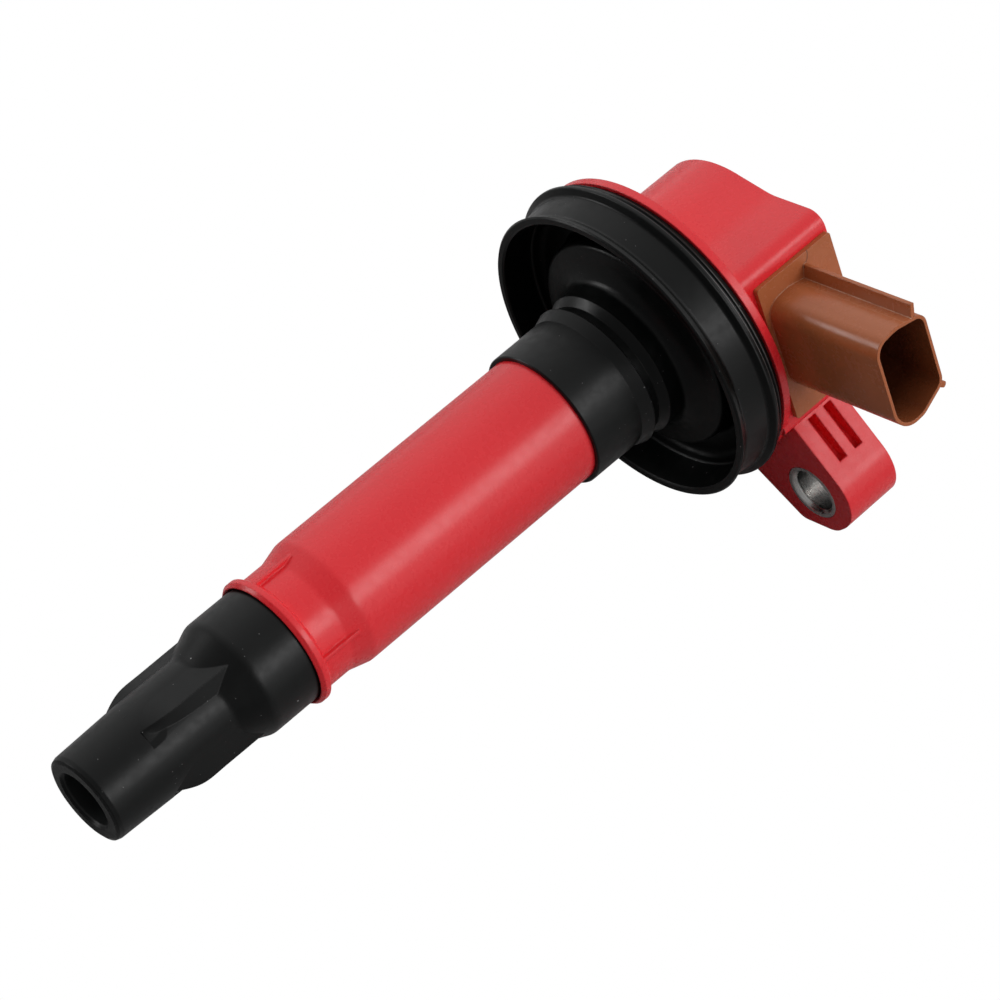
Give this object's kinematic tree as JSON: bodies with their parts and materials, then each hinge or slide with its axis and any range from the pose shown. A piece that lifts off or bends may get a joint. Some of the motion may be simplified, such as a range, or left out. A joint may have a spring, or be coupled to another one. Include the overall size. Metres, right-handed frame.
{
  "type": "ignition coil",
  "caption": "Pencil ignition coil: rubber boot, straight tube, cup-shaped well seal, flanged head with a bolt lug and an angled connector shroud.",
  "frame": {"origin": "on the coil axis, in the plane of the bolt lug's seat", "axes": "+Z along the coil axis from the spark plug end to the head, -Y out of the connector mouth"},
  "size_m": [0.0625, 0.0724, 0.1385],
  "materials": {
    "red_plastic": "satin",
    "black_rubber": "satin",
    "brown_plastic": "satin",
    "zinc_steel": "satin",
    "tinned_copper": "bright",
    "silicon_steel": "lacquered",
    "magnet": "satin",
    "silicone": "matte",
    "bobbin_plastic": "matte",
    "copper_wire": "enamelled",
    "fine_copper_wire": "enamelled",
    "brass": "satin",
    "resistor_ceramic": "matte",
    "spring_steel": "bright",
    "circuit_board": "matte",
    "chip_resin": "matte",
    "aluminium": "satin",
    "capacitor_film": "satin",
    "epoxy": "gloss"
  },
  "bodies": {
    "coil_body": {"coil_tube": "red_plastic", "head_housing": "red_plastic", "spark_plug_boot": "black_rubber", "well_seal": "black_rubber", "mount_bushing": "zinc_steel", "connector_shell": "brown_plastic", "terminal_supply": "tinned_copper", "terminal_trigger": "tinned_copper", "terminal_ground": "tinned_copper", "center_core": "silicon_steel", "outer_core": "silicon_steel", "lower_magnet": "magnet", "upper_magnet": "magnet", "lower_core_cushion": "silicone", "upper_core_cushion": "silicone", "secondary_bobbin": "bobbin_plastic", "primary_bobbin": "bobbin_plastic", "secondary_winding": "fine_copper_wire", "primary_winding": "copper_wire", "high_voltage_terminal": "brass", "suppressor_resistor": "resistor_ceramic", "contact_spring": "spring_steel", "igniter_board": "circuit_board", "power_transistor": "chip_resin", "heat_spreader": "aluminium", "suppression_capacitor": "capacitor_film", "head_potting": "epoxy"},
    "spring_tip": {"spring_end_coil": "spring_steel"}
  },
  "joints": [
    {"name": "contact_spring_travel", "type": "slide", "parent": "coil_body", "child": "spring_tip", "axis": [0, 0, 1], "range_m": [0, 0.006], "deforming": ["contact_spring"]}
  ]
}
